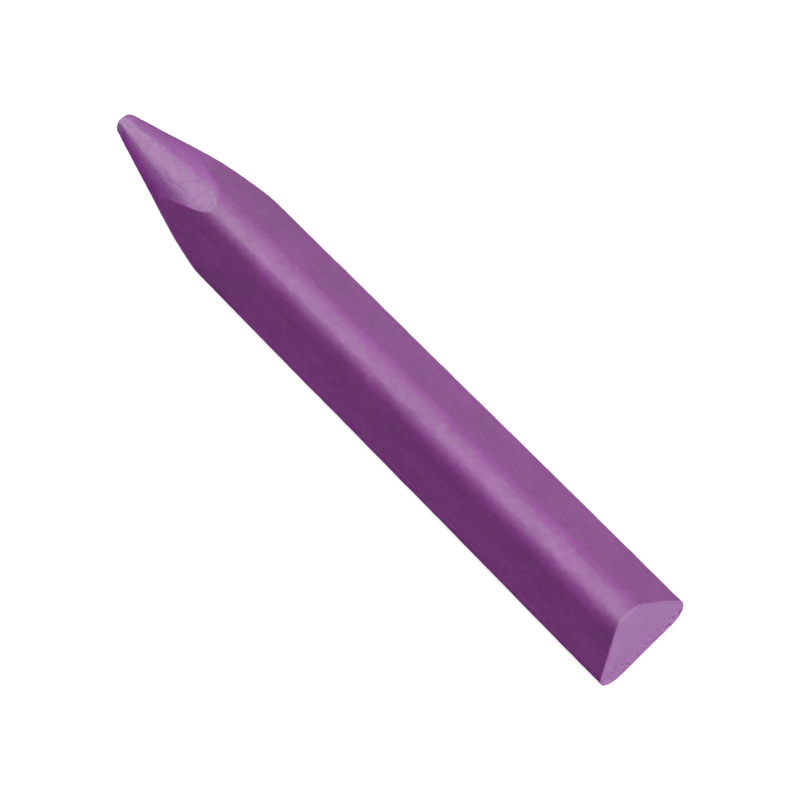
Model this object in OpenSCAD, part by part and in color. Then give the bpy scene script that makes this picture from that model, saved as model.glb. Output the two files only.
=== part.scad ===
// Triangular wax crayon: a three-sided stick with rounded ridges and a coned writing tip.
// It lies on one flat side. The origin is under the middle of its length, +X runs towards the
// tip and +Z is up. All sizes are in millimetres.

/* [Stick] */
// Length from the rear end to the end of the nose
overall_length = 100; // [80:1:140]
// Distance from the long axis to each of the three flat sides
flat_distance = 5; // [4:0.1:6.5]
// Radius of the three rounded ridges
ridge_radius = 2.6; // [1.6:0.1:3.4]
// How far the flats are sunk below the lines that touch the ridges
flat_sink = 0.005; // [0.002:0.001:0.1]
// How far the broken edge of the rear end reaches in on the end and along the sides
rear_edge_break = 0.3; // [0.15:0.05:0.5]
// Radius of the arc that breaks that edge
rear_edge_radius = 0.6; // [0.55:0.05:0.8]

/* [Tip] */
// Angle between the side of the cone and the long axis
cone_half_angle = 14.2; // [11:0.1:24]
// Radius of the flat at the end of the nose
nose_flat_radius = 0.85; // [0.4:0.05:1.4]
// Radius that rounds the edge of the nose
nose_edge_radius = 0.7; // [0.2:0.05:1.2]
// Length of full three-sided section that the tip keeps behind its cone
shoulder_length = 1.5; // [0.5:0.1:5]

/* [Hidden] */
$fn = 96;

// Directions from the axis to the three ridges, the first one straight up
ridge_angles = [90, 210, 330];
// Half of the arc that each ridge turns through between two flats
ridge_half_arc = 60;
// Distance from the long axis to the centre line of each ridge
ridge_offset = (flat_distance + flat_sink - ridge_radius) / cos(ridge_half_arc);
// Distance from the long axis to the crest of each ridge
ridge_reach = ridge_offset + ridge_radius;
// Distance from the centre line of each ridge to the planes of its two flats
flat_reach = ridge_radius - flat_sink;
// Width of each flat between the centre lines of the two ridges beside it
flat_width = 2 * ridge_offset * sin(ridge_half_arc);
// How far the centre of the rear edge's arc lies in from the end and from the sides
edge_arc_depth = (rear_edge_break + sqrt(2 * pow(rear_edge_radius, 2) - pow(rear_edge_break, 2))) / 2;
// How far the shape that trims the rear edge stands out from that centre, clear of the end and the sides
edge_clearance = 0.98 * rear_edge_radius;
// How far that shape reaches in from the centre lines of the ridges
edge_shape_depth = 0.6 * ridge_offset;

// Where the straight side of the cone runs into the rounding of the nose
cone_end_x = overall_length - nose_edge_radius * (1 - sin(cone_half_angle));
cone_end_radius = nose_flat_radius + nose_edge_radius * cos(cone_half_angle);
// Where the cone runs out on the crests of the ridges
cone_start_x = cone_end_x - (ridge_reach - cone_end_radius) / tan(cone_half_angle);
// The flat face on which the tip and the stick are one
joint_x = cone_start_x - shoulder_length;
joint_cone_radius = ridge_reach + shoulder_length * tan(cone_half_angle);

wax_colour = "#8c4a92";
tip_colour = "#9a5fa2";

// Centre of the ridge that lies in the given direction
function ridge_centre(angle) = ridge_offset * [cos(angle), sin(angle)];

// Point where a flat ends, just inside the ridge on the given side of it
function flat_end(angle, side) =
    let (normal = angle + side * ridge_half_arc)
    ridge_centre(angle) + flat_reach * [cos(normal), sin(normal)];

// Takes a shape drawn upright, with its own Z as the long axis, to where the crayon lies
module lay_down() {
    translate([-overall_length / 2, 0, flat_distance + flat_sink]) rotate([90, 0, 90]) children();
}

// Cross-section of the crayon: three flats and three round ridges
module section() {
    polygon([for (angle = ridge_angles, side = [-1, 1]) flat_end(angle, side)]);
    for (angle = ridge_angles) translate(ridge_centre(angle)) circle(ridge_radius);
}

// Lengthwise outline of the shape that trims the rear edge: an arc that crosses the end and the side
module edge_outline(inner, outer) {
    arc_centre = [outer - edge_arc_depth, edge_arc_depth];
    translate(arc_centre) circle(rear_edge_radius);
    translate([inner, edge_arc_depth])
        square([arc_centre.x + edge_clearance - inner, joint_x]);
    translate([inner, edge_arc_depth - edge_clearance])
        square([arc_centre.x - inner, joint_x]);
}

// Part of that shape round one ridge
module ridge_edge(angle) {
    translate(ridge_centre(angle)) rotate(angle + 180) rotate_extrude() edge_outline(0, ridge_radius);
}

// Part of that shape along one flat, from the ridge in the given direction to the next ridge
module flat_edge(angle) {
    translate(ridge_centre(angle)) rotate(angle + ridge_half_arc) rotate([90, 0, 0])
        translate([0, 0, -flat_width]) linear_extrude(flat_width)
            edge_outline(-edge_shape_depth, flat_reach);
}

// Half outline of the cone and its blunt nose, measured from the long axis
module cone_outline() {
    nose_centre = [nose_flat_radius, overall_length - nose_edge_radius];
    intersection() {
        union() {
            polygon([
                [0, joint_x],
                [joint_cone_radius, joint_x],
                [cone_end_radius, cone_end_x],
                nose_centre,
                [nose_flat_radius, overall_length],
                [0, overall_length]
            ]);
            translate(nose_centre) circle(nose_edge_radius);
        }
        square([joint_cone_radius, overall_length]);
    }
}

// The three-sided stick, from its cut rear end to the root of the tip
module wax_stick() {
    color(wax_colour) lay_down() intersection() {
        linear_extrude(joint_x) section();
        for (angle = ridge_angles) {
            ridge_edge(angle);
            flat_edge(angle);
        }
    }
}

// The writing tip: the same three-sided section, coned down to a blunt nose
module writing_tip() {
    color(tip_colour) lay_down() intersection() {
        translate([0, 0, joint_x]) linear_extrude(overall_length - joint_x) section();
        rotate_extrude() cone_outline();
    }
}

wax_stick();
writing_tip();
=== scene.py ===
"""Dresses the triangular wax crayon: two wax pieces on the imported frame, in soft studio light.

All sizes are in metres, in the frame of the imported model: +X runs along the crayon towards its tip, +Z is up
and the crayon lies on one of its three flats.
"""

import logging
import math
from dataclasses import dataclass
from enum import Enum
from typing import Union

import bpy
from mathutils import Matrix, Vector


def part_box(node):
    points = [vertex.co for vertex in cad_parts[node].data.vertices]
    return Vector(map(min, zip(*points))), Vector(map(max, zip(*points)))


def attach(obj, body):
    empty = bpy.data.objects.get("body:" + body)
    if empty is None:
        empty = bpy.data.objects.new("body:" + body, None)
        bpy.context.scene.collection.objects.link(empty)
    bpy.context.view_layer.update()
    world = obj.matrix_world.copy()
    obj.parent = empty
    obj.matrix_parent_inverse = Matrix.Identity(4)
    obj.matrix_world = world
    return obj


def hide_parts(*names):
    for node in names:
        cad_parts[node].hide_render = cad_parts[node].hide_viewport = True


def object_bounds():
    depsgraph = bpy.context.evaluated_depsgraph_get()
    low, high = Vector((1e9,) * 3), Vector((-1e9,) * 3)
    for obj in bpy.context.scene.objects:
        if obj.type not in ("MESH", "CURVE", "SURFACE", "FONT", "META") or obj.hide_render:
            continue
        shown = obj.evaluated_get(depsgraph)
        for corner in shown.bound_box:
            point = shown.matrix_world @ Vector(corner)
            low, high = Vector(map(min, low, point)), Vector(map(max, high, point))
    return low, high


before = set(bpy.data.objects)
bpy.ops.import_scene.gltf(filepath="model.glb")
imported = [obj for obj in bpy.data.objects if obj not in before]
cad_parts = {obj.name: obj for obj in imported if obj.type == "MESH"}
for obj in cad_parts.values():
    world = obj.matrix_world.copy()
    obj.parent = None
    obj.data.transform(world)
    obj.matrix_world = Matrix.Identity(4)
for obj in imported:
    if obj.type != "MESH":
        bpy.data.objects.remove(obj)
cad_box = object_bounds()

MM = 0.001
LOG = logging.getLogger("wax_crayon")
BLACK = (0.0, 0.0, 0.0, 1.0)
WHITE = (1.0, 1.0, 1.0, 1.0)

Span = tuple[float, float]
Triple = tuple[float, float, float]
Term = Union["Wire", float]


def spacing(along: float, across: float) -> Triple:
    """Pitch of a pattern along the crayon and across it, from millimetres."""
    return (along * MM, across * MM, across * MM)


# Node trees
@dataclass(frozen=True)
class Wire:
    """A value that runs between nodes. Arithmetic on wires adds the nodes that work it out.

    Attributes:
        bench: The bench whose tree the value belongs to.
        socket: The output that gives the value.
    """

    bench: "Bench"
    socket: bpy.types.NodeSocket

    def __add__(self, other: Term) -> "Wire":
        """Sum of two values."""
        return self.bench.math("ADD", self, other)

    def __sub__(self, other: Term) -> "Wire":
        """Difference of two values."""
        return self.bench.math("SUBTRACT", self, other)

    def __rsub__(self, other: float) -> "Wire":
        """Difference from a plain number."""
        return self.bench.math("SUBTRACT", other, self)

    def __mul__(self, other: Term) -> "Wire":
        """Product of two values."""
        return self.bench.math("MULTIPLY", self, other)

    def __truediv__(self, other: Term) -> "Wire":
        """Quotient of two values."""
        return self.bench.math("DIVIDE", self, other)

    __radd__ = __add__
    __rmul__ = __mul__


class Bench:
    """Adds nodes to one tree and joins them, for shapes and finishes alike."""

    def __init__(self, tree: bpy.types.NodeTree) -> None:
        """Keeps the tree that the nodes go into."""
        self.tree = tree

    def add(self, kind: str, **settings: object) -> bpy.types.Node:
        """Adds one node.

        Args:
            kind: Blender's name for the type of node.
            settings: Properties to set on the node.

        Returns:
            The new node.
        """
        node = self.tree.nodes.new(kind)
        for name, value in settings.items():
            setattr(node, name, value)
        return node

    def feed(self, socket: bpy.types.NodeSocket, value: object) -> None:
        """Gives an input its value.

        Args:
            socket: The input.
            value: A wire to join to it, or a plain value to set on it.
        """
        if isinstance(value, Wire):
            self.tree.links.new(value.socket, socket)
        else:
            socket.default_value = value

    def wire(self, node: bpy.types.Node, output: Union[int, str] = 0, **inputs: object) -> Wire:
        """Feeds a node by the names of its inputs and takes one of its outputs.

        Args:
            node: The node.
            output: Place or name of the output.
            inputs: Values by input name, with an underscore for each space in it.

        Returns:
            The wire from that output.
        """
        for name, value in inputs.items():
            self.feed(node.inputs[name.replace("_", " ")], value)
        return Wire(self, node.outputs[output])

    def fill(self, node: bpy.types.Node, *terms: object) -> Wire:
        """Feeds a node by the order of its inputs and takes its first output.

        Args:
            node: The node.
            terms: What goes into it.

        Returns:
            The wire from that output.
        """
        for socket, term in zip(node.inputs, terms):
            self.feed(socket, term)
        return Wire(self, node.outputs[0])

    def math(self, operation: str, *terms: Term) -> Wire:
        """Works out one sum, by Blender's name for it."""
        return self.fill(self.add("ShaderNodeMath", operation=operation), *terms)

    def ramp(
        self, value: Wire, start: Term, end: Term, low: Term = 0.0, high: Term = 1.0, soft: bool = False
    ) -> Wire:
        """Maps a value from one span to another, straight or softly, and holds it at the ends."""
        node = self.add("ShaderNodeMapRange", interpolation_type="SMOOTHSTEP" if soft else "LINEAR")
        return self.fill(node, value, start, end, low, high)

    def hump(self, value: Wire, width: float) -> Wire:
        """Rises to 1 where a value is zero and falls softly to 0 at a width to both sides."""
        return self.ramp(self.math("ABSOLUTE", value), 0.0, width, 1.0, 0.0, soft=True)

    def vector(self, x: Term, y: Term, z: Term) -> Wire:
        """Puts three values together as one place."""
        return self.wire(self.add("ShaderNodeCombineXYZ"), X=x, Y=y, Z=z)

    def parts(self, vector: Wire) -> tuple[Wire, Wire, Wire]:
        """Takes a place apart.

        Args:
            vector: The place.

        Returns:
            Its values along X, Y and Z.
        """
        node = self.add("ShaderNodeSeparateXYZ")
        self.feed(node.inputs[0], vector)
        return tuple(Wire(self, output) for output in node.outputs)

    def stretch(self, place: Wire, pitch: Triple) -> Wire:
        """Counts a place in pitches instead of metres."""
        return self.fill(self.add("ShaderNodeVectorMath", operation="DIVIDE"), place, pitch)

    def noise(self, place: Wire, pitch: Triple, seed: float, detail: float = 2.0) -> Wire:
        """Cloudy noise from 0 to 1, by its rough pitch, a seed and a number of finer layers."""
        node = self.add("ShaderNodeTexNoise", noise_dimensions="4D")
        return self.wire(node, Vector=self.stretch(place, pitch), W=seed, Scale=1.0, Detail=detail)

    def cells(self, place: Wire, pitch: Triple) -> Wire:
        """Distance to the nearest of many points scattered over X and Y, in pitches."""
        node = self.add("ShaderNodeTexVoronoi", voronoi_dimensions="2D", feature="F1")
        return self.wire(node, "Distance", Vector=self.stretch(place, pitch), Scale=1.0)


class ShapeTree(Bench):
    """A geometry tree with named inputs, which makes one mesh."""

    def __init__(
        self, name: str, sizes: dict[str, float], counts: dict[str, int], waxes: dict[str, bpy.types.Material]
    ) -> None:
        """Makes the empty tree with its inputs and its output.

        Args:
            name: Name of the tree.
            sizes: Lengths and angles by the names of their inputs.
            counts: Whole numbers by the names of their inputs.
            waxes: Materials by the names of their inputs.
        """
        super().__init__(bpy.data.node_groups.new(name, "GeometryNodeTree"))
        self.tree.interface.new_socket("Shape", in_out="OUTPUT", socket_type="NodeSocketGeometry")
        self.values: dict[str, object] = {}
        groups = {"NodeSocketFloat": sizes, "NodeSocketInt": counts, "NodeSocketMaterial": waxes}
        for kind, group in groups.items():
            for label, value in group.items():
                item = self.tree.interface.new_socket(label, in_out="INPUT", socket_type=kind)
                self.values[item.identifier] = value
        self.entry = self.add("NodeGroupInput")

    def given(self, name: str) -> Wire:
        """The value of a named input."""
        return Wire(self, self.entry.outputs[name])

    def keep(self, shape: Wire, name: str, value: Wire, kind: str = "FLOAT", domain: str = "POINT") -> Wire:
        """Stores a value on the mesh, by Blender's words for its type and for what carries it."""
        node = self.add("GeometryNodeStoreNamedAttribute", data_type=kind, domain=domain)
        return self.wire(node, Geometry=shape, Name=name, Value=value)

    def kept(self, name: str) -> Wire:
        """A stored value, read back."""
        return self.wire(self.add("GeometryNodeInputNamedAttribute", data_type="FLOAT"), Name=name)

    def roll(self, grid: Wire, layers: dict[str, Wire], place: Wire) -> Wire:
        """Rolls the flat grid up into the piece, with the values that its finishes read.

        Args:
            grid: The flat grid.
            layers: Values to store on it, by name.
            place: Where each of its points goes.

        Returns:
            The rolled-up geometry, still open at its seam.
        """
        shape = grid
        for name, value in layers.items():
            shape = self.keep(shape, name, value)
        return self.wire(self.add("GeometryNodeSetPosition"), Geometry=shape, Position=place)

    def close(self, shape: Wire, merge_distance: float, sharp_angle: float) -> Wire:
        """Joins the seam and the poles of a rolled-up grid and sets how it is shaded.

        Args:
            shape: The geometry.
            merge_distance: Points closer than this become one.
            sharp_angle: Edges that turn further than this stay crisp.

        Returns:
            The closed geometry.
        """
        shape = self.wire(self.add("GeometryNodeMergeByDistance"), Geometry=shape, Distance=merge_distance)
        shape = self.wire(self.add("GeometryNodeSetShadeSmooth"), Geometry=shape, Shade_Smooth=True)
        angle = self.wire(self.add("GeometryNodeInputMeshEdgeAngle"))
        crisp = self.math("GREATER_THAN", angle, sharp_angle)
        return self.keep(shape, "sharp_edge", crisp, "BOOLEAN", "EDGE")

    def finish(self, shape: Wire, whole: Wire, part: Wire, selection: Wire) -> None:
        """Ends the tree: realizes the geometry and gives it its two waxes.

        Args:
            shape: The geometry.
            whole: Wax of the whole piece.
            part: Wax of the selected faces.
            selection: Above one half on those faces.
        """
        shape = self.wire(self.add("GeometryNodeRealizeInstances"), Geometry=shape)
        shape = self.wire(self.add("GeometryNodeSetMaterial"), Geometry=shape, Material=whole)
        chosen = self.math("GREATER_THAN", selection, 0.5)
        dress = self.add("GeometryNodeSetMaterial")
        shape = self.wire(dress, Geometry=shape, Selection=chosen, Material=part)
        self.feed(self.add("NodeGroupOutput").inputs[0], shape)

    def make(self, name: str) -> bpy.types.Object:
        """Runs the tree once and keeps the result as a plain mesh.

        Args:
            name: Name of the piece.

        Returns:
            The finished object, at the origin and without a modifier.
        """
        blank = bpy.data.meshes.new(name + "_blank")
        piece = bpy.data.objects.new(name, blank)
        bpy.context.scene.collection.objects.link(piece)
        modifier = piece.modifiers.new(self.tree.name, "NODES")
        modifier.node_group = self.tree
        for identifier, value in self.values.items():
            modifier[identifier] = value
        graph = bpy.context.evaluated_depsgraph_get()
        mesh = bpy.data.meshes.new_from_object(
            piece.evaluated_get(graph), preserve_all_data_layers=True, depsgraph=graph
        )
        piece.modifiers.remove(modifier)
        for index in reversed(range(len(mesh.materials))):
            if mesh.materials[index] is None:
                mesh.materials.pop(index=index)
        piece.data = mesh
        bpy.data.meshes.remove(blank)
        mesh.name = name
        return piece


# Finishes
class Marks(Enum):
    """Which way the fine marks of a wax surface run, as their pitch along X, Y and Z."""

    ALONG = spacing(60, 0.45)
    AROUND = spacing(0.38, 4.5)
    EVEN = spacing(1.1, 1.1)


@dataclass(frozen=True)
class WaxFinish:
    """One surface of the wax: its colour, its gloss and its fine marks.

    Attributes:
        name: Name of the material.
        deep: Colour in the hollows of the marks.
        pale: Colour on their crests.
        worn: Colour where the wax is rubbed or chipped pale.
        painted_shade: Darker colour painted in as shade in the pits, the dents and on the rounded edges.
        roughness: Middle roughness.
        roughness_spread: How far the roughness strays with the marks and the grain.
        gloss_spread: How far the strength of the gloss strays with small clouds.
        marks: Which way the marks run.
        mark_share: How strongly the marks tint the wax.
        mottle_share: How strongly slow clouds tint the wax.
        grain_share: How strongly the fine grain tints the wax.
        mark_depth: Depth of the marks.
        grain_depth: Depth of the fine grain.
        seed: Picks the pattern.
        mottle_pitch: Rough size of the slow clouds.
        grain_pitch: Rough size of the fine grain.
        film_pitch: Rough size of the clouds that the gloss strays with.
        gloss: Middle strength of the gloss.
        pit_roughness: How much rougher the pits are.
        refraction: Index of refraction of the wax.
        scatter_reach: How far light spreads inside thick wax.
        scatter_tint: Share of that reach in red, green and blue.
    """

    name: str
    deep: Triple
    pale: Triple
    worn: Triple
    painted_shade: Triple
    roughness: float
    roughness_spread: float
    gloss_spread: float
    marks: Marks
    mark_share: float
    mottle_share: float
    grain_share: float
    mark_depth: float
    grain_depth: float
    seed: float
    mottle_pitch: Triple = spacing(7, 4)
    grain_pitch: Triple = spacing(0.22, 0.22)
    film_pitch: Triple = spacing(0.9, 0.6)
    gloss: float = 0.93
    pit_roughness: float = 0.4
    refraction: float = 1.5
    scatter_reach: float = 8.0 * MM
    scatter_tint: Triple = (1.0, 0.25, 1.0)

    def material(self) -> bpy.types.Material:
        """Builds the material from its nodes.

        Returns:
            The wax material.
        """
        material = bpy.data.materials.new(self.name)
        material.use_nodes = True
        bench = Bench(material.node_tree)
        wax = material.node_tree.nodes["Principled BSDF"]
        place = bench.wire(bench.add("ShaderNodeTexCoord"), "Object")
        marks = bench.noise(place, self.marks.value, self.seed, detail=2.5)
        mottle = bench.noise(place, self.mottle_pitch, self.seed + 3.0, detail=3.0)
        grain = bench.noise(place, self.grain_pitch, self.seed + 7.0, detail=3.0)
        film = bench.noise(place, self.film_pitch, self.seed + 9.0)
        pit = self.attribute(bench, "pit")

        tint = (marks - 0.5) * self.mark_share + (mottle - 0.5) * self.mottle_share
        tint = tint + (grain - 0.5) * self.grain_share + 0.5
        colour = self.mix(bench, tint, self.deep, self.pale)
        colour = self.mix(bench, self.attribute(bench, "wear"), colour, self.worn)
        # Painted shade: the stored pit value darkens the colour in the pits, the dents and on the rounded
        # edges.
        colour = self.mix(bench, pit, colour, self.painted_shade)
        bench.feed(wax.inputs["Base Color"], colour)

        stray = (marks - 0.5) + (grain - 0.5)
        matt = pit * self.pit_roughness + self.roughness
        bench.feed(wax.inputs["Roughness"], stray * self.roughness_spread + matt)
        bench.feed(wax.inputs["Specular IOR Level"], (film - 0.5) * self.gloss_spread + self.gloss)
        wax.inputs["IOR"].default_value = self.refraction
        wax.inputs["Subsurface Weight"].default_value = 1.0
        wax.inputs["Subsurface Radius"].default_value = self.scatter_tint
        bench.feed(wax.inputs["Subsurface Scale"], self.attribute(bench, "bulk") * self.scatter_reach)

        relief = marks * self.mark_depth + grain * self.grain_depth
        bump = bench.add("ShaderNodeBump")
        bench.feed(wax.inputs["Normal"], bench.wire(bump, Strength=1.0, Distance=1.0, Height=relief))
        return material

    @staticmethod
    def mix(bench: Bench, factor: Wire, first: object, second: object) -> Wire:
        """Mixes two colours.

        Args:
            bench: Where the node goes.
            factor: 0 for the first colour, 1 for the second.
            first: Colour or wire.
            second: Colour or wire.

        Returns:
            The mixed colour.
        """
        node = bench.add("ShaderNodeMix", data_type="RGBA")
        bench.feed(node.inputs["Factor"], factor)
        for name, colour in (("A_Color", first), ("B_Color", second)):
            socket = next(socket for socket in node.inputs if socket.identifier == name)
            bench.feed(socket, colour if isinstance(colour, Wire) else (*colour, 1.0))
        return Wire(bench, next(socket for socket in node.outputs if socket.identifier == "Result_Color"))

    @staticmethod
    def attribute(bench: Bench, name: str) -> Wire:
        """A value that the shape tree stored on the mesh."""
        return bench.wire(bench.add("ShaderNodeAttribute", attribute_name=name), "Fac")


SIDE_WAX = WaxFinish(
    name="side_wax",
    deep=(0.1260, 0.0244, 0.1334),
    pale=(0.1605, 0.0311, 0.1703),
    worn=(0.230, 0.075, 0.240),
    painted_shade=(0.080, 0.016, 0.085),
    roughness=0.5,
    roughness_spread=0.2,
    gloss_spread=1.1,
    marks=Marks.ALONG,
    mark_share=0.9,
    mottle_share=2.0,
    grain_share=1.4,
    mark_depth=0.011 * MM,
    grain_depth=0.012 * MM,
    seed=2.0,
)
CONE_WAX = WaxFinish(
    name="cone_wax",
    deep=(0.1094, 0.0156, 0.1231),
    pale=(0.1687, 0.0240, 0.1894),
    worn=(0.185, 0.105, 0.210),
    painted_shade=(0.075, 0.014, 0.080),
    roughness=0.5,
    roughness_spread=0.2,
    gloss_spread=0.5,
    marks=Marks.AROUND,
    mark_share=0.8,
    mottle_share=1.2,
    grain_share=2.6,
    mark_depth=0.03 * MM,
    grain_depth=0.02 * MM,
    seed=11.0,
)
# The end wax is paler and greyer than the sides: partly the paler tone of the cut wax, partly a painted
# highlight that puts the gloss of the cut face into its colour.
END_WAX = WaxFinish(
    name="end_wax",
    deep=(0.2094, 0.1051, 0.2300),
    pale=(0.2559, 0.1281, 0.2801),
    worn=(0.290, 0.105, 0.310),
    painted_shade=(0.098, 0.034, 0.110),
    roughness=0.55,
    roughness_spread=0.12,
    gloss_spread=0.5,
    marks=Marks.EVEN,
    mark_share=0.8,
    mottle_share=1.2,
    grain_share=0.6,
    mark_depth=0.02 * MM,
    grain_depth=0.008 * MM,
    seed=23.0,
)


# Wax pieces
@dataclass(frozen=True)
class Rim:
    """One point of the three-sided section, as wires.

    Attributes:
        side: Distance from the long axis along Y.
        up: Distance from the long axis along Z.
        out_side: Share of the outward direction along Y.
        out_up: Share of the outward direction along Z.
        reach: Straight distance from the long axis.
    """

    side: Wire
    up: Wire
    out_side: Wire
    out_up: Wire
    reach: Wire


@dataclass
class WaxSection:
    """The three-sided section that both pieces share, and the relief of its drawn skin.

    Attributes:
        flat_distance: Distance from the long axis to each flat.
        ridge_radius: Radius of the three ridges.
        ridge_steps: Straight steps in the arc of one ridge.
        columns: Points round the section.
        crown_drop: How far the upper ridge is rubbed down at its crest.
        crown_side: Where the middle of that rubbing lies along Y.
        crown_width: How far it reaches to each side.
        shoulder_rise: How much fuller that ridge is on its left.
        shoulder_side: Where the middle of that fullness lies along Y.
        shoulder_width: How far it reaches to each side.
        upper_heights: Heights above the long axis between which both set in.
        sway_height: Height of the slow waves along the sides.
        sway_pitch: Their rough size.
        line_height: Height of the fine lines along the sides.
        line_pitch: Their rough size.
        dent_height: Height of the small dents.
        dent_pitch: Their rough size.
        groove_depth: Depth of the few clear draw lines low on the right flat.
        groove_pitch: Height from one of these lines to the next.
        groove_height: Height of their middle above the floor.
        groove_span: Half of the height of the band that they lie in.
        groove_sides: Places along Y between which they set in.
        drift_pitch: Rough length over which they wander up and down.
        calm_heights: Heights above the floor between which all this relief sets in.
        spread_depths: Distances from the face where the pieces meet between which light spreads further.
        joint_spread: Share of the full spread of light at that face.
        merge_distance: Points closer than this become one when a piece is closed.
        sharp_angle: Edges that turn further than this stay crisp.
        seed: Picks the pattern of the relief.
    """

    flat_distance: float = 5.005 * MM
    ridge_radius: float = 2.6 * MM
    ridge_steps: int = 64
    columns: int = 360
    crown_drop: float = 0.17 * MM
    crown_side: float = -0.4 * MM
    crown_width: float = 2.1 * MM
    shoulder_rise: float = 0.09 * MM
    shoulder_side: float = 2.65 * MM
    shoulder_width: float = 1.2 * MM
    upper_heights: Span = (1.0 * MM, 4.0 * MM)
    sway_height: float = 0.2 * MM
    sway_pitch: Triple = spacing(26, 8)
    line_height: float = 0.025 * MM
    line_pitch: Triple = spacing(70, 0.5)
    dent_height: float = 0.14 * MM
    dent_pitch: Triple = spacing(2.4, 1.8)
    groove_depth: float = 0.035 * MM
    groove_pitch: float = 0.56 * MM
    groove_height: float = 4.6 * MM
    groove_span: float = 1.0 * MM
    groove_sides: Span = (0.0, -1.0 * MM)
    drift_pitch: Triple = spacing(30, 30)
    calm_heights: Span = (0.05 * MM, 0.6 * MM)
    spread_depths: Span = (1.0 * MM, 8.0 * MM)
    joint_spread: float = 0.03
    merge_distance: float = 0.0001 * MM
    sharp_angle: float = math.radians(57)
    seed: float = 5.0

    def sizes(self) -> dict[str, float]:
        """The section's lengths by the names of their tree inputs."""
        return {"Flat distance": self.flat_distance, "Ridge radius": self.ridge_radius}

    def counts(self, rows: int) -> dict[str, int]:
        """The piece's whole numbers by the names of their tree inputs."""
        return {"Rows": rows, "Columns": self.columns, "Ridge steps": self.ridge_steps}

    def sheet(self, tree: ShapeTree, rows: int) -> tuple[Wire, Wire, Wire]:
        """Lays out the flat grid that is rolled up into a piece.

        Args:
            tree: The tree of the piece.
            rows: Number of strips along the piece.

        Returns:
            The grid, the row of each point from 0 up, and its turn round the section from 0 to 1.
        """
        grid = tree.add("GeometryNodeMeshGrid")
        flat = tree.wire(
            grid,
            Size_X=float(rows),
            Size_Y=1.0,
            Vertices_X=tree.given("Rows") + 1.0,
            Vertices_Y=tree.given("Columns") + 1.0,
        )
        along, across, _ = tree.parts(tree.wire(tree.add("GeometryNodeInputPosition")))
        return flat, along + 0.5 * rows, across + 0.5

    def rim(self, tree: ShapeTree, turn: Wire) -> Rim:
        """Finds a point of the section on a filleted triangle whose upper ridge is rubbed a little flat.

        Args:
            tree: The tree of the piece.
            turn: How far round the section the point lies, from 0 to 1.

        Returns:
            The point.
        """
        corner = tree.given("Flat distance") * 2.0
        circle = tree.add("GeometryNodeCurvePrimitiveCircle", mode="RADIUS")
        triangle = tree.wire(circle, Resolution=3, Radius=corner)
        fillet = tree.add("GeometryNodeFilletCurve", mode="POLY")
        steps, radius = tree.given("Ridge steps"), tree.given("Ridge radius")
        rounded = tree.wire(fillet, Curve=triangle, Count=steps, Radius=radius)
        sample = tree.add("GeometryNodeSampleCurve", mode="FACTOR", use_all_curves=True)
        point = tree.wire(sample, "Position", Curves=rounded, Factor=turn)
        up, side, _ = tree.parts(point)
        tangent_up, tangent_side, _ = tree.parts(tree.wire(sample, "Tangent"))
        out_side, out_up = tangent_up * -1.0, tangent_side
        crown = tree.hump(side - self.crown_side, self.crown_width) * -self.crown_drop
        shoulder = tree.hump(side - self.shoulder_side, self.shoulder_width) * self.shoulder_rise
        rubbed = (crown + shoulder) * tree.ramp(up, *self.upper_heights, soft=True)
        side, up = side + out_side * rubbed, up + out_up * rubbed
        reach = tree.math("SQRT", up * up + side * side)
        return Rim(side, up, out_side, out_up, reach)

    def skin(self, tree: ShapeTree, x: Wire, rim: Rim, axis_height: float) -> Wire:
        """Relief of the drawn sides: slow waves, fine lines, small dents and a few draw lines.

        Args:
            tree: The tree of the piece.
            x: Place along the crayon.
            rim: Place round the section.
            axis_height: Height of the long axis above the floor.

        Returns:
            Height of the surface above the plain section.
        """
        place = tree.vector(x, rim.side, rim.up)
        sway = tree.noise(place, self.sway_pitch, self.seed)
        lines = tree.noise(place, self.line_pitch, self.seed + 1.0)
        dents = tree.noise(place, self.dent_pitch, self.seed + 2.0)
        drift = tree.noise(place, self.drift_pitch, self.seed + 3.0) * (0.5 * self.groove_pitch)
        lift = rim.up + (axis_height - self.groove_height)
        wave = tree.math("SINE", (lift + drift) * (2.0 * math.pi / self.groove_pitch))
        grooves = wave * tree.hump(lift, self.groove_span) * tree.ramp(rim.side, *self.groove_sides)
        relief = (sway - 0.5) * self.sway_height + (lines - 0.5) * self.line_height
        relief = relief + (dents - 0.5) * self.dent_height + grooves * (0.5 * self.groove_depth)
        return relief * tree.ramp(rim.up + axis_height, *self.calm_heights)

    def bulk(self, tree: ShapeTree, inward: Wire) -> Wire:
        """Share of the full spread of light, at a distance from the face where the pieces meet."""
        return tree.ramp(inward, *self.spread_depths, self.joint_spread, 1.0, soft=True)


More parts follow.
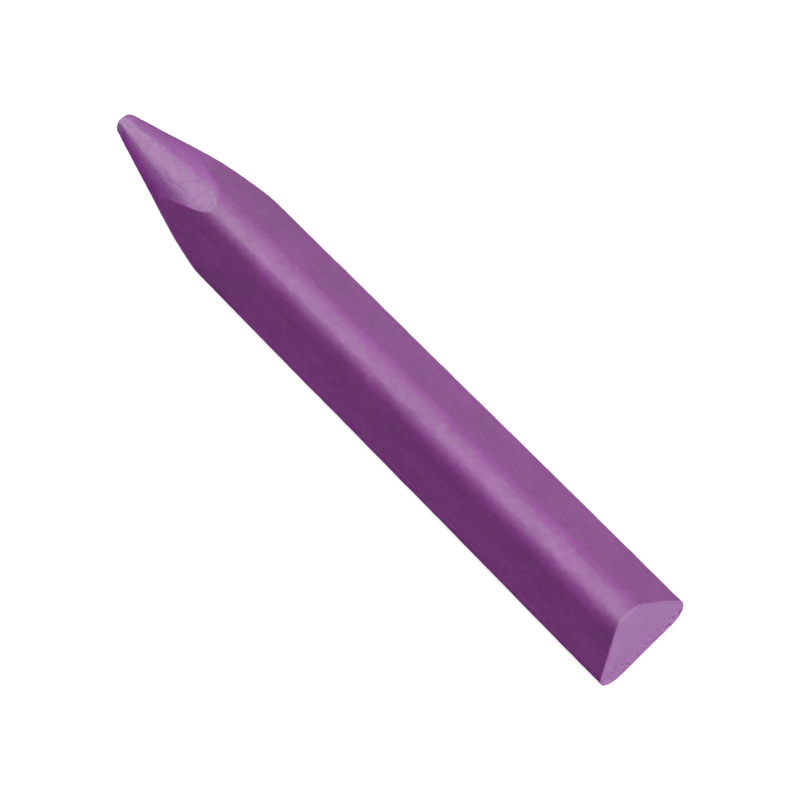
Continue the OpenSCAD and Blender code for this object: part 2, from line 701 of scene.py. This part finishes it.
@dataclass
class StickPiece:
    """The three-sided stick, from its cut rear end to the face where the tip begins.

    Attributes:
        section: The shared section.
        edge_radius: Rounding of the rear edge at the upper ridge.
        edge_heights: Heights above the long axis between which the rounding grows.
        base_edge_share: Share of that rounding along the base.
        edge_sides: Places along Y between which the rounding shrinks.
        left_edge_share: Share of that rounding on the left.
        edge_shade: How strongly shade is painted onto the rounding, with the same darker colour as the pits.
        cut_slant: How far the rear end is cut out of square, as a slope.
        pit_depth: Depth of the break-out pits along the lower edge of the rear end.
        pit_pitch: Rough distance between the pits.
        pit_wall: Distances from the middle of a pit between which its wall rises, in pitches.
        strip_height: How far the broken strip reaches up the middle of the rear end.
        strip_slant: How much higher it lies on the left, as a slope.
        strip_depth: How far the strip lies behind the rest of the end.
        strip_edge: Height over which the strip ends.
        strip_wear: How strongly the strip is tinted as worn.
        strip_base: Heights above the floor between which the pits set in.
        ragged_height: How far the strip's upper edge wanders.
        ragged_pitch: Rough length of that wandering.
        ragged_slice: Place along X at which its noise is read.
        end_spread: Share of the full spread of light at the rear end.
        end_depth: Distance from there at which the spread is full.
        whole_rows: Strips next to the edge that no pit breaks.
        face_rows: Strips from the middle of the rear end to its edge.
        edge_rows: Strips over the rounding.
        side_rows: Strips along the sides.
        joint_rows: Strips on the face at the tip.
        seed: Picks the pattern of the pits.
    """

    section: WaxSection
    edge_radius: float = 0.6 * MM
    edge_heights: Span = (-2.0 * MM, 2.0 * MM)
    base_edge_share: float = 0.25
    edge_sides: Span = (0.5 * MM, 2.8 * MM)
    left_edge_share: float = 0.3
    edge_shade: float = 0.6
    cut_slant: float = 0.026
    pit_depth: float = 0.16 * MM
    pit_pitch: float = 0.74 * MM
    pit_wall: Span = (0.14, 0.4)
    strip_height: float = 3.0 * MM
    strip_slant: float = 0.13
    strip_depth: float = 0.02 * MM
    strip_edge: float = 0.3 * MM
    strip_wear: float = 0.4
    strip_base: Span = (0.4 * MM, 0.8 * MM)
    ragged_height: float = 1.6 * MM
    ragged_pitch: Triple = spacing(1.6, 1.6)
    ragged_slice: float = 5.005 * MM
    end_spread: float = 0.15
    end_depth: float = 4.0 * MM
    whole_rows: int = 4
    face_rows: int = 44
    edge_rows: int = 12
    side_rows: int = 150
    joint_rows: int = 4
    seed: float = 31.0

    def build(self, skin: bpy.types.Material, end: bpy.types.Material) -> bpy.types.Object:
        """Makes the stick and hands it to the frame.

        Args:
            skin: Wax of the sides.
            end: Wax of the rear end.

        Returns:
            The finished piece.
        """
        low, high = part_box("wax_stick")
        axis_height = low[2] + self.section.flat_distance
        rows = self.face_rows + self.edge_rows + self.side_rows + self.joint_rows
        sizes = {
            "Rear": low[0],
            "Joint": high[0],
            "Edge radius": self.edge_radius,
            "Pit depth": self.pit_depth,
        }
        tree = ShapeTree(
            "stick_shape",
            {**sizes, **self.section.sizes()},
            self.section.counts(rows),
            {"Side wax": skin, "End wax": end},
        )
        grid, row, turn = self.section.sheet(tree, rows)
        rim = self.section.rim(tree, turn)
        face_end, edge_end = self.face_rows, self.face_rows + self.edge_rows
        side_end = edge_end + self.side_rows
        face = tree.ramp(row, 0.0, face_end)
        edge = tree.ramp(row, face_end, edge_end)
        along = tree.ramp(row, edge_end, side_end)
        joint = tree.ramp(row, side_end, rows)

        rear, joint_x = tree.given("Rear"), tree.given("Joint")
        base_share = tree.ramp(rim.up, *self.edge_heights, self.base_edge_share, 1.0, soft=True)
        left_share = tree.ramp(rim.side, *self.edge_sides, 1.0, self.left_edge_share, soft=True)
        radius = tree.given("Edge radius") * base_share * left_share
        swing = edge * (0.5 * math.pi)
        inset = radius * (1.0 - tree.math("SINE", swing))
        x = rear + radius * (1.0 - tree.math("COSINE", swing))
        x = x + along * (joint_x - rear - radius)
        share = face * (1.0 - joint)
        swell = self.section.skin(tree, x, rim, axis_height) - inset
        side = (rim.side + rim.out_side * swell) * share
        height = (rim.up + rim.out_up * swell) * share + axis_height

        pit, strip = self.broken_strip(tree, side, height)
        on_face = (1.0 - edge) * tree.ramp(row, side_end, side_end + 1.0, 1.0, 0.0)
        whole_rim = tree.ramp(row, face_end - self.whole_rows, face_end, 1.0, 0.0)
        dip = (pit * tree.given("Pit depth") + strip * self.strip_depth) * on_face * whole_rim
        slant = side * (1.0 - along) * self.cut_slant
        # Painted shade: the rounding of the rear edge is darkened, to hold back the extra light that it
        # catches from the rear.
        on_edge = tree.hump(row - (face_end + 0.5 * self.edge_rows), 0.7 * self.edge_rows)
        thin = tree.ramp(x - rear, 0.0, self.end_depth, self.end_spread, 1.0, soft=True)
        layers = {
            "wear": strip * (1.0 - pit) * on_face * self.strip_wear,
            # Painted shade: darkens the pits of the broken strip and the rounding of the rear edge.
            "pit": tree.math("MAXIMUM", pit * on_face, on_edge * self.edge_shade),
            "bulk": self.section.bulk(tree, joint_x - x) * thin,
            "cut": tree.ramp(row, edge_end - 2.0, edge_end - 1.0, 1.0, 0.0),
        }
        shape = tree.roll(grid, layers, tree.vector(x + dip - slant, side, height))
        shape = tree.close(shape, self.section.merge_distance, self.section.sharp_angle)
        tree.finish(shape, tree.given("Side wax"), tree.given("End wax"), tree.kept("cut"))

        piece = tree.make("stick")
        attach(piece, "root")
        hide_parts("wax_stick")
        return piece

    def broken_strip(self, tree: ShapeTree, side: Wire, height: Wire) -> tuple[Wire, Wire]:
        """Finds where the wax broke away along the lower edge of the rear end.

        Args:
            tree: The tree of the piece.
            side: Place across the end.
            height: Place above the floor.

        Returns:
            How far each point lies in a pit, and how far in the strip, both from 0 to 1.
        """
        place = tree.vector(self.ragged_slice, side, height)
        cells = tree.cells(tree.vector(side, height, 0.0), (self.pit_pitch,) * 3)
        crumbs = tree.ramp(cells, *self.pit_wall, 1.0, 0.0, soft=True)
        ragged = (tree.noise(place, self.ragged_pitch, self.seed + 1.0) - 0.5) * self.ragged_height
        lift = height - side * self.strip_slant + ragged
        strip = tree.ramp(lift, self.strip_height - self.strip_edge, self.strip_height, 1.0, 0.0, soft=True)
        band = tree.ramp(lift, *self.strip_base, soft=True) * strip
        return crumbs * band, strip


@dataclass(frozen=True)
class TipLine:
    """One point of the tip before its relief, as wires.

    Attributes:
        x: Place along the crayon.
        past: Distance past the crease where the cone begins.
        radius: Distance from the long axis.
        over_edge: How far the point lies over the rounding of the nose, from 0 to 1.
        over_nose: How far it lies in from there to the middle of the nose, from 0 to 1.
    """

    x: Wire
    past: Wire
    radius: Wire
    over_edge: Wire
    over_nose: Wire


@dataclass
class TipPiece:
    """The writing tip: the same section, coned down to a blunt nose.

    Attributes:
        section: The shared section.
        cone_angle: Angle between the side of the cone and the long axis.
        nose_radius: Radius of the flat at the end of the nose.
        nose_rounding: Rounding of the nose's edge.
        lip_width: How far the burr of the lip reaches to each side of the crease.
        lip_height: Height of that burr.
        lip_softness: How softly the cone runs into the section on the crest and on the left.
        lip_blend: How much softer it does so on the right.
        blend_sides: Places along Y between which it grows softer.
        burr_heights: Heights above the long axis between which the burr sets in.
        burr_pitch: Rough size of the crumbs of the burr.
        burr_gaps: Values of its noise between which a crumb rises.
        cut_fade: Distances past the crease between which the cut relief replaces the drawn skin.
        upper_heights: Heights above the long axis between which the shapes of the upper side set in.
        lean: How much steeper the cone is on the right of the upper lip than elsewhere, as a share.
        lean_place: Where that stretch has its middle, as a share of the reach along Y.
        lean_width: How far it reaches to each side, likewise.
        rub_share: How far the top of the cone is rubbed flat near the nose, as a share of its radius.
        rub_place: Where the rubbed stretch has its middle, as a share of the reach along Y.
        rub_width: How far it reaches to each side, likewise.
        rub_distances: Distances from the nose between which it sets in.
        turn_height: Height of the turning marks on the cone.
        turn_pitch: Their rough size.
        grain_height: Height of the cone's torn grain.
        grain_pitch: Its rough size.
        facet_height: How far the cone is out of round.
        facet_pitch: Rough size of its slight flats.
        nose_height: Depth of the worn dents on the nose.
        dent_pitch: Their rough size.
        dent_wall: Values of their noise between which a dent falls.
        dent_distances: Distances from the nose between which they set in.
        dent_shade: How strongly shade is painted into a dent, with the same darker colour as the pits.
        edge_shade: How strongly shade is painted onto the rounding of the nose, with the same darker colour as
            the pits.
        nose_wear: How strongly the nose is tinted as worn.
        wear_distances: Distances from the nose between which that tint sets in.
        nose_spread: Share of the full spread of light at the nose.
        spread_distances: Distances from the nose between which the spread falls.
        joint_rows: Strips on the face at the stick.
        shoulder_rows: Strips from there to the lip.
        lip_rows: Strips over the lip.
        cone_rows: Strips along the cone.
        edge_rows: Strips over the rounding of the nose.
        nose_rows: Strips on the flat of the nose.
        seed: Picks the pattern of the relief.
    """

    section: WaxSection
    cone_angle: float = math.radians(14.2)
    nose_radius: float = 0.85 * MM
    nose_rounding: float = 0.7 * MM
    lip_width: float = 0.28 * MM
    lip_height: float = 0.01 * MM
    lip_softness: float = 0.12 * MM
    lip_blend: float = 0.45 * MM
    blend_sides: Span = (-0.4 * MM, -3.2 * MM)
    burr_heights: Span = (4.0 * MM, 6.5 * MM)
    burr_pitch: Triple = spacing(0.8, 0.8)
    burr_gaps: Span = (0.4, 0.65)
    cut_fade: Span = (-0.3 * MM, 0.5 * MM)
    upper_heights: Span = (0.0, 2.0 * MM)
    lean: float = 0.05
    lean_place: float = -0.3
    lean_width: float = 0.36
    rub_share: float = 0.03
    rub_place: float = 0.06
    rub_width: float = 0.42
    rub_distances: Span = (14.0 * MM, 6.0 * MM)
    turn_height: float = 0.06 * MM
    turn_pitch: Triple = spacing(0.42, 5)
    grain_height: float = 0.11 * MM
    grain_pitch: Triple = spacing(0.36, 0.33)
    facet_height: float = 0.16 * MM
    facet_pitch: Triple = spacing(6, 3)
    nose_height: float = 0.06 * MM
    dent_pitch: Triple = spacing(0.9, 0.7)
    dent_wall: Span = (0.5, 0.72)
    dent_distances: Span = (4.0 * MM, 0.5 * MM)
    dent_shade: float = 0.3
    edge_shade: float = 0.25
    nose_wear: float = 0.35
    wear_distances: Span = (3.2 * MM, 0.4 * MM)
    nose_spread: float = 0.12
    spread_distances: Span = (7.0 * MM, 0.5 * MM)
    joint_rows: int = 4
    shoulder_rows: int = 44
    lip_rows: int = 12
    cone_rows: int = 170
    edge_rows: int = 14
    nose_rows: int = 10
    seed: float = 47.0

    def build(self, skin: bpy.types.Material, cut: bpy.types.Material) -> bpy.types.Object:
        """Makes the tip and hands it to the frame.

        Args:
            skin: Wax of the shoulder.
            cut: Wax of the cone and the nose.

        Returns:
            The finished piece.
        """
        low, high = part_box("writing_tip")
        axis_height = self.section.flat_distance
        sizes = {
            "Joint": low[0],
            "Nose": high[0],
            "Cone angle": self.cone_angle,
            "Nose radius": self.nose_radius,
            "Nose rounding": self.nose_rounding,
            "Lip width": self.lip_width,
        }
        ends = [self.joint_rows]
        for count in (self.shoulder_rows, self.lip_rows, self.cone_rows, self.edge_rows, self.nose_rows):
            ends.append(ends[-1] + count)
        rows = ends[-1]
        tree = ShapeTree(
            "tip_shape",
            {**sizes, **self.section.sizes()},
            self.section.counts(rows),
            {"Side wax": skin, "Cut wax": cut},
        )
        grid, row, turn = self.section.sheet(tree, rows)
        rim = self.section.rim(tree, turn)
        line = self.line(tree, rim, row, ends)
        from_nose = tree.given("Nose") - line.x

        cut_share = tree.ramp(line.past, *self.cut_fade, soft=True)
        skin_height = self.section.skin(tree, line.x, rim, axis_height) * (1.0 - cut_share)
        shrink = line.radius / rim.reach
        plain = tree.vector(line.x, rim.side * shrink, rim.up * shrink)
        cut_height, dent = self.cut_relief(tree, plain, from_nose)
        calm = tree.ramp(line.radius, 0.0, self.nose_radius)
        rubbed = self.upper_stretch(tree, rim, self.rub_place, self.rub_width)
        rubbed = rubbed * tree.ramp(from_nose, *self.rub_distances, soft=True)
        swell = line.radius * (1.0 - rubbed * self.rub_share) + cut_height * cut_share * calm
        swell = swell + self.burr(tree, rim, line, plain) * self.lip_height
        joint = tree.ramp(row, 0.0, self.joint_rows)
        side = (rim.side * (swell / rim.reach) + rim.out_side * skin_height) * joint
        height = (rim.up * (swell / rim.reach) + rim.out_up * skin_height) * joint + axis_height

        worn_back = dent * line.over_nose * self.nose_height
        thin = tree.ramp(from_nose, *self.spread_distances, 1.0, self.nose_spread, soft=True)
        lip_row = self.joint_rows + self.shoulder_rows + 0.5 * self.lip_rows
        layers = {
            "wear": tree.ramp(from_nose, *self.wear_distances, 0.0, self.nose_wear, soft=True),
            # Painted shade: darkens the worn dents and the rounding of the nose.
            "pit": tree.math("MAXIMUM", dent * cut_share * self.dent_shade, line.over_edge * self.edge_shade),
            "bulk": self.section.bulk(tree, line.x - tree.given("Joint")) * thin,
            "cut": tree.ramp(row, lip_row - 1.0, lip_row + 1.0),
        }
        shape = tree.roll(grid, layers, tree.vector(line.x - worn_back, side, height))
        shape = tree.close(shape, self.section.merge_distance, self.section.sharp_angle)
        tree.finish(shape, tree.given("Side wax"), tree.given("Cut wax"), tree.kept("cut"))

        piece = tree.make("tip")
        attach(piece, "root")
        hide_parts("writing_tip")
        return piece

    def line(self, tree: ShapeTree, rim: Rim, row: Wire, ends: list[int]) -> TipLine:
        """Runs from the face at the stick over shoulder, lip, cone and rounding to the middle of the nose.

        Args:
            tree: The tree of the piece.
            rim: Place round the section.
            row: Place along the grid.
            ends: Rows at which the shoulder begins and each stretch ends.

        Returns:
            The point of the tip.
        """
        shoulder, over_lip, along_cone, over_edge, over_nose = (
            tree.ramp(row, start, end) for start, end in zip(ends, ends[1:])
        )
        joint, width, angle = tree.given("Joint"), tree.given("Lip width"), tree.given("Cone angle")
        flat, rounding = tree.given("Nose radius"), tree.given("Nose rounding")
        sine, cosine = tree.math("SINE", angle), tree.math("COSINE", angle)
        steep = self.upper_stretch(tree, rim, self.lean_place, self.lean_width)
        slope = tree.math("TANGENT", angle) * (steep * self.lean + 1.0)
        cone_end = tree.given("Nose") - rounding * (1.0 - sine)
        end_radius = flat + rounding * cosine
        crease = cone_end - (rim.reach - end_radius) / slope
        x = joint + shoulder * (crease - width - joint) + over_lip * (width * 2.0)
        x = x + along_cone * (cone_end - crease - width)
        cone_radius = end_radius + (cone_end - x) * slope
        softness = tree.ramp(rim.side, *self.blend_sides, soft=True) * self.lip_blend + self.lip_softness
        radius = tree.math("SMOOTH_MIN", rim.reach, cone_radius, softness)
        swing = over_edge * (0.5 * math.pi - angle) + angle
        bow = end_radius - flat - rounding * tree.math("COSINE", swing)
        x = x + rounding * (tree.math("SINE", swing) - sine)
        return TipLine(x, x - crease, (radius - bow) * (1.0 - over_nose), over_edge, over_nose)

    def upper_stretch(self, tree: ShapeTree, rim: Rim, place: float, width: float) -> Wire:
        """Rises softly to 1 along one stretch of the upper side, placed by shares of the reach along Y."""
        return tree.hump(rim.side / rim.reach - place, width) * tree.ramp(rim.up, *self.upper_heights)

    def burr(self, tree: ShapeTree, rim: Rim, line: TipLine, place: Wire) -> Wire:
        """Height of the crumbled burr along the upper lip, from 0 to 1."""
        crumbs = tree.ramp(tree.noise(place, self.burr_pitch, self.seed + 5.0), *self.burr_gaps)
        return tree.hump(line.past, self.lip_width) * crumbs * tree.ramp(rim.up, *self.burr_heights)

    def cut_relief(self, tree: ShapeTree, place: Wire, from_nose: Wire) -> tuple[Wire, Wire]:
        """Relief of the cut cone: turning marks, torn grain, slight flats and a worn nose.

        Args:
            tree: The tree of the piece.
            place: Where on the plain tip.
            from_nose: Distance from the end of the nose.

        Returns:
            Height of the surface above the plain cone, and how far each point lies in a dent, from 0 to 1.
        """
        turned = tree.noise(place, self.turn_pitch, self.seed, detail=1.0)
        grain = tree.noise(place, self.grain_pitch, self.seed + 1.0)
        facets = tree.noise(place, self.facet_pitch, self.seed + 2.0, detail=1.0)
        dents = tree.noise(place, self.dent_pitch, self.seed + 3.0)
        dent = tree.ramp(dents, *self.dent_wall, soft=True)
        worn = dent * tree.ramp(from_nose, *self.dent_distances, soft=True)
        relief = (turned - 0.5) * self.turn_height + (grain - 0.5) * self.grain_height
        relief = relief + (facets - 0.5) * self.facet_height - worn * self.nose_height
        return relief, dent


# Studio
@dataclass(frozen=True)
class SoftBox:
    """One large soft lamp that faces the middle of the crayon.

    Attributes:
        name: Name of the lamp.
        azimuth: Direction of the lamp from the crayon, in degrees from +X towards +Y.
        elevation: Height of that direction above the floor, in degrees.
        distance: How far away the lamp stands.
        width: Side of its square face.
        power: Its power in watts.
    """

    name: str
    azimuth: float
    elevation: float
    distance: float
    width: float
    power: float

    def place(self, target: Vector) -> bpy.types.Object:
        """Sets the lamp up.

        Args:
            target: The point that it faces.

        Returns:
            The lamp.
        """
        lamp = bpy.data.lights.new(self.name, "AREA")
        lamp.shape = "SQUARE"
        lamp.size = self.width
        lamp.energy = self.power
        rise, turn = math.radians(self.elevation), math.radians(self.azimuth)
        level = math.cos(rise)
        towards = Vector((level * math.cos(turn), level * math.sin(turn), math.sin(rise)))
        box = bpy.data.objects.new(self.name, lamp)
        turned = towards.to_track_quat("Z", "Y").to_matrix().to_4x4()
        box.matrix_world = Matrix.Translation(target + towards * self.distance) @ turned
        box.visible_camera = False
        bpy.context.scene.collection.objects.link(box)
        return box


@dataclass
class Studio:
    """The pale floor, the soft light and the camera.

    Attributes:
        floor_radius: Radius of the floor.
        floor_corners: Corners of its edge.
        floor_colour: Its colour.
        floor_roughness: Its roughness.
        floor_gloss: Strength of its gloss.
        floor_glow: Light that the floor gives off, as from a lit table.
        card_corner: Corner of the white card on the right of the crayon that lies nearest to its rear end.
        card_size: Length and width of that card.
        card_glow: Its brightness, as the gloss of the wax sees it.
        backdrop_radius: Radius of the pale dome that closes the room.
        backdrop_rings: Rings of faces from its foot to its top.
        backdrop_corners: Corners of each ring.
        room_strength: Brightness of the dome, to the camera alone.
        lens: Focal length of the camera in millimetres.
        film: Width of its film in millimetres.
        near_clip: Distance from which on it sees.
        camera_place: Where the camera stands.
        camera_right: Direction to the right of its picture.
        camera_up: Direction to the top of its picture.
        boxes: The lamps.
    """

    floor_radius: float = 3.0
    floor_corners: int = 96
    floor_colour: Triple = (0.4, 0.4, 0.4)
    floor_roughness: float = 0.9
    floor_gloss: float = 0.1
    floor_glow: float = 0.7
    card_corner: Triple = (-0.049, -0.009, 0.0002)
    card_size: Span = (0.2, 0.15)
    card_glow: float = 0.35
    backdrop_radius: float = 2.9
    backdrop_rings: int = 24
    backdrop_corners: int = 64
    room_strength: float = 1.0
    lens: float = 135.04
    film: float = 36.0
    near_clip: float = 0.01
    camera_place: Triple = (-0.167563, 0.032944, 0.331058)
    camera_right: Triple = (-0.63424, -0.73529, -0.23892)
    camera_up: Triple = (0.63532, -0.67178, 0.38090)
    boxes: tuple[SoftBox, ...] = (
        SoftBox("low_front_box", 8.0, 33.0, 0.9, 0.4, 4.35),
        SoftBox("low_right_box", -15.0, 33.0, 0.9, 0.4, 0.91),
        SoftBox("high_right_box", -45.0, 65.0, 0.9, 0.6, 2.89),
        SoftBox("high_left_box", 70.0, 65.0, 0.9, 0.5, 2.01),
        SoftBox("side_spot", -42.0, 12.0, 0.9, 0.4, 1.02),
        SoftBox("low_side_box", -75.0, 12.0, 0.9, 0.5, 0.5),
        SoftBox("rear_box", 200.0, 50.0, 0.9, 0.6, 13.42),
        SoftBox("low_rear_box", 180.0, 25.0, 0.9, 0.6, 1.05),
    )

    def build(self) -> None:
        """Sets up the floor, the room, the lamps and the camera."""
        low, high = cad_box
        target = (Vector(low) + Vector(high)) * 0.5
        self.lay_floor()
        self.lay_card()
        self.close_room()
        for box in self.boxes:
            box.place(target)
        self.set_camera()
        bpy.context.scene.view_settings.view_transform = "Standard"

    @staticmethod
    def paint(name: str, **values: object) -> bpy.types.Material:
        """Makes a plain material.

        Args:
            name: Name of the material.
            values: Constants by the names of the shader's inputs, with an underscore for each space.

        Returns:
            The material.
        """
        material = bpy.data.materials.new(name)
        material.use_nodes = True
        inputs = material.node_tree.nodes["Principled BSDF"].inputs
        for label, value in values.items():
            inputs[label.replace("_", " ")].default_value = value
        return material

    def glowing(self, name: str, strength: float) -> bpy.types.Material:
        """Makes a material that only gives off white light."""
        light = {"Emission_Color": WHITE, "Emission_Strength": strength}
        return self.paint(name, Base_Color=BLACK, Specular_IOR_Level=0.0, **light)

    @staticmethod
    def ring(radius: float, height: float, corners: int) -> list[Triple]:
        """The corners of a level ring round the origin."""
        turns = (2.0 * math.pi * corner / corners for corner in range(corners))
        return [(radius * math.cos(turn), radius * math.sin(turn), height) for turn in turns]

    @staticmethod
    def prop(
        name: str, points: list[Triple], faces: list[tuple[int, ...]], material: bpy.types.Material
    ) -> bpy.types.Object:
        """Makes one thing that stands round the crayon.

        Args:
            name: Its name.
            points: Its corners.
            faces: The corners of each of its faces.
            material: What it is made of.

        Returns:
            The new object.
        """
        mesh = bpy.data.meshes.new(name)
        mesh.from_pydata(points, [], faces)
        mesh.materials.append(material)
        thing = bpy.data.objects.new(name, mesh)
        bpy.context.scene.collection.objects.link(thing)
        return thing

    def lay_floor(self) -> bpy.types.Object:
        """Lays the floor under the crayon.

        Returns:
            The floor.
        """
        material = self.paint(
            "pale_floor",
            Base_Color=(*self.floor_colour, 1.0),
            Roughness=self.floor_roughness,
            Specular_IOR_Level=self.floor_gloss,
            Emission_Color=WHITE,
            Emission_Strength=self.floor_glow,
        )
        edge = self.ring(self.floor_radius, 0.0, self.floor_corners)
        floor = self.prop("floor", edge, [tuple(range(self.floor_corners))], material)
        floor.visible_glossy = False
        return floor

    def lay_card(self) -> bpy.types.Object:
        """Lays a white card on the right of the crayon, for its reflection alone.

        Returns:
            The card.
        """
        x, y, z = self.card_corner
        length, width = self.card_size
        corners = [(x, y - width, z), (x + length, y - width, z), (x + length, y, z), (x, y, z)]
        card = self.prop("white_card", corners, [(0, 1, 2, 3)], self.glowing("lit_card", self.card_glow))
        card.visible_camera = False
        card.visible_diffuse = False
        card.visible_shadow = False
        return card

    def close_room(self) -> bpy.types.Object:
        """Closes the room with a pale dome that only the camera sees, and darkens the air outside it.

        Returns:
            The dome.
        """
        rings, corners = self.backdrop_rings, self.backdrop_corners
        points, faces = [], []
        for level in range(rings + 1):
            rise = 0.5 * math.pi * level / rings
            reach, height = self.backdrop_radius * math.cos(rise), self.backdrop_radius * math.sin(rise)
            points.extend(self.ring(reach, height, corners))
        for base in range(0, rings * corners, corners):
            for corner in range(corners):
                first, second = base + corner, base + (corner + 1) % corners
                faces.append((first, second, second + corners, first + corners))
        backdrop = self.prop("backdrop", points, faces, self.glowing("pale_backdrop", self.room_strength))
        backdrop.visible_diffuse = False
        backdrop.visible_glossy = False
        backdrop.visible_transmission = False
        backdrop.visible_shadow = False
        world = bpy.data.worlds.new("dark_air")
        world.use_nodes = True
        world.node_tree.nodes["Background"].inputs["Strength"].default_value = 0.0
        bpy.context.scene.world = world
        return backdrop

    def set_camera(self) -> bpy.types.Object:
        """Puts the camera where the photograph was taken from.

        Returns:
            The camera.
        """
        data = bpy.data.cameras.new("camera")
        data.lens = self.lens
        data.sensor_width = self.film
        data.clip_start = self.near_clip
        right = Vector(self.camera_right).normalized()
        back = right.cross(Vector(self.camera_up)).normalized()
        turned = Matrix((right, back.cross(right), back)).transposed().to_4x4()
        camera = bpy.data.objects.new("camera", data)
        camera.matrix_world = Matrix.Translation(self.camera_place) @ turned
        bpy.context.scene.collection.objects.link(camera)
        bpy.context.scene.camera = camera
        return camera


def main() -> None:
    """Sets up the studio, builds the wax pieces in order and reports each one."""
    logging.basicConfig(level=logging.INFO, format="%(message)s")
    Studio().build()
    skin, cut, end = (finish.material() for finish in (SIDE_WAX, CONE_WAX, END_WAX))
    section = WaxSection()
    for piece in (StickPiece(section).build(skin, end), TipPiece(section).build(skin, cut)):
        piece.data.calc_loop_triangles()
        LOG.info("%s: %d triangles", piece.name, len(piece.data.loop_triangles))


if __name__ == "__main__":
    main()
